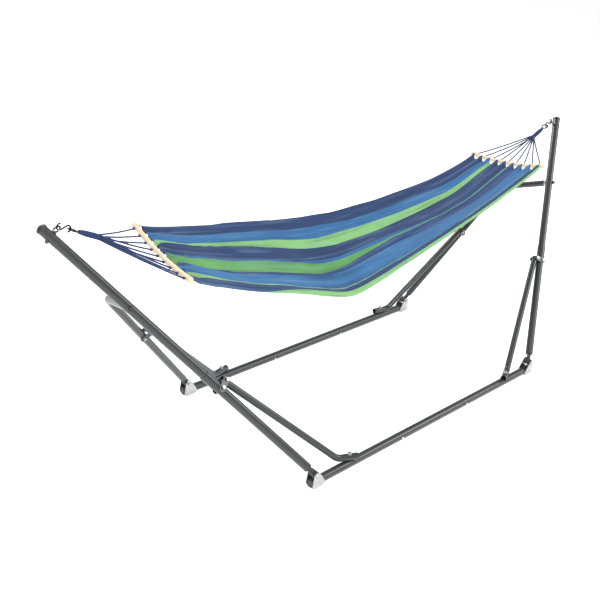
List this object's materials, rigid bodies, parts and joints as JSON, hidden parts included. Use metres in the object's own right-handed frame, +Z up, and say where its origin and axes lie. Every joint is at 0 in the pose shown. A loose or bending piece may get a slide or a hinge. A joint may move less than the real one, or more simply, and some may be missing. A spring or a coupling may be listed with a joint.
{
  "type": "hammock on folding stand",
  "caption": "Striped cloth hammock with spreader bars, hung between the leaning masts of a folding round-tube steel stand.",
  "frame": {"origin": "on the floor, midway between the four corner hinges", "axes": "+X along the floor rails to the right end, +Y from the front rail to the back rail, +Z up"},
  "size_m": [3.0222, 0.8371, 1.0219],
  "materials": {
    "frame_paint": "satin dark grey powder coat",
    "zinc": "zinc plated",
    "black_plastic": "moulded, matt",
    "navy_cord": "braided cord",
    "bar_wood": "bare light wood, smoothed",
    "striped_cloth": "woven cotton canvas in blue and green stripes"
  },
  "bodies": {
    "base": {"front_rail_left": "frame_paint", "front_rail_middle": "frame_paint", "front_rail_right": "frame_paint", "back_rail_left": "frame_paint", "back_rail_middle": "frame_paint", "back_rail_right": "frame_paint", "rail_end_plugs": "black_plastic", "front_left_bracket": "zinc", "front_right_bracket": "zinc", "back_left_bracket": "zinc", "back_right_bracket": "zinc", "bracket_rivets": "zinc", "hinge_bolts": "zinc", "rail_nuts": "zinc", "splice_bolts": "zinc"},
    "left_end": {"left_mast_lower": "frame_paint", "left_mast_upper": "frame_paint", "left_leg": "frame_paint", "left_hinge_feet": "black_plastic", "left_top_cap": "black_plastic", "left_leg_bolt": "black_plastic", "left_leg_spacer": "zinc", "left_eye_bolt": "zinc", "left_clevises": "frame_paint", "left_clevis_bolts": "zinc"},
    "front_left_brace": {"front_left_brace": "frame_paint", "front_left_knob": "zinc"},
    "back_left_brace": {"back_left_brace": "frame_paint", "back_left_knob": "zinc"},
    "right_end": {"right_mast_lower": "frame_paint", "right_mast_upper": "frame_paint", "right_leg": "frame_paint", "right_hinge_feet": "black_plastic", "right_top_cap": "black_plastic", "right_leg_bolt": "black_plastic", "right_leg_spacer": "zinc", "right_eye_bolt": "zinc", "right_clevises": "frame_paint", "right_clevis_bolts": "zinc"},
    "front_right_brace": {"front_right_brace": "frame_paint", "front_right_knob": "zinc"},
    "back_right_brace": {"back_right_brace": "frame_paint", "back_right_knob": "zinc"},
    "hammock": {"hooks": "zinc", "end_rings": "zinc", "left_lashing": "navy_cord", "right_lashing": "navy_cord", "left_cords": "navy_cord", "right_cords": "navy_cord", "cord_knots": "navy_cord", "left_spreader_bar": "bar_wood", "right_spreader_bar": "bar_wood", "hammock_bed": "striped_cloth"}
  },
  "joints": [
    {"name": "left_end_fold", "type": "hinge", "parent": "base", "child": "left_end", "pos_m": [-0.722, 0, 0.058], "axis": [0, 1, 0], "range_deg": [0, 124], "deforming": ["hooks", "end_rings", "left_lashing", "right_lashing", "left_cords", "right_cords", "cord_knots", "left_spreader_bar", "right_spreader_bar", "hammock_bed"]},
    {"name": "right_end_fold", "type": "hinge", "parent": "base", "child": "right_end", "pos_m": [0.722, 0, 0.058], "axis": [0, -1, 0], "range_deg": [0, 110], "deforming": ["hooks", "end_rings", "left_lashing", "right_lashing", "left_cords", "right_cords", "cord_knots", "left_spreader_bar", "right_spreader_bar", "hammock_bed"]},
    {"name": "front_left_brace_swing", "type": "hinge", "parent": "left_end", "child": "front_left_brace", "pos_m": [-0.99494, -0.15837, 0.44326], "axis": [0.1448, -0.7962, 0.5875], "range_deg": [0, 168.65]},
    {"name": "back_left_brace_swing", "type": "hinge", "parent": "left_end", "child": "back_left_brace", "pos_m": [-0.98536, 0.29633, 0.43681], "axis": [-0.0775, -0.9518, -0.2968], "range_deg": [0, 117.81]},
    {"name": "front_right_brace_swing", "type": "hinge", "parent": "right_end", "child": "front_right_brace", "pos_m": [0.99494, -0.15837, 0.44326], "axis": [0.1448, 0.7962, -0.5875], "range_deg": [0, 149.61]},
    {"name": "back_right_brace_swing", "type": "hinge", "parent": "right_end", "child": "back_right_brace", "pos_m": [0.98536, 0.29633, 0.43681], "axis": [-0.0775, 0.9518, 0.2968], "range_deg": [0, 104.51]},
    {"name": "hammock_swing", "type": "hinge", "parent": "base", "child": "hammock", "pos_m": [0, 0.16442, 1.00301], "axis": [1, 0, 0], "range_deg": [-30, 30]}
  ],
  "couplings": [
    {"joint": "front_left_brace_swing", "follows": "left_end_fold", "ratio": 1.36},
    {"joint": "back_left_brace_swing", "follows": "left_end_fold", "ratio": 0.95},
    {"joint": "front_right_brace_swing", "follows": "right_end_fold", "ratio": 1.36},
    {"joint": "back_right_brace_swing", "follows": "right_end_fold", "ratio": 0.95}
  ]
}
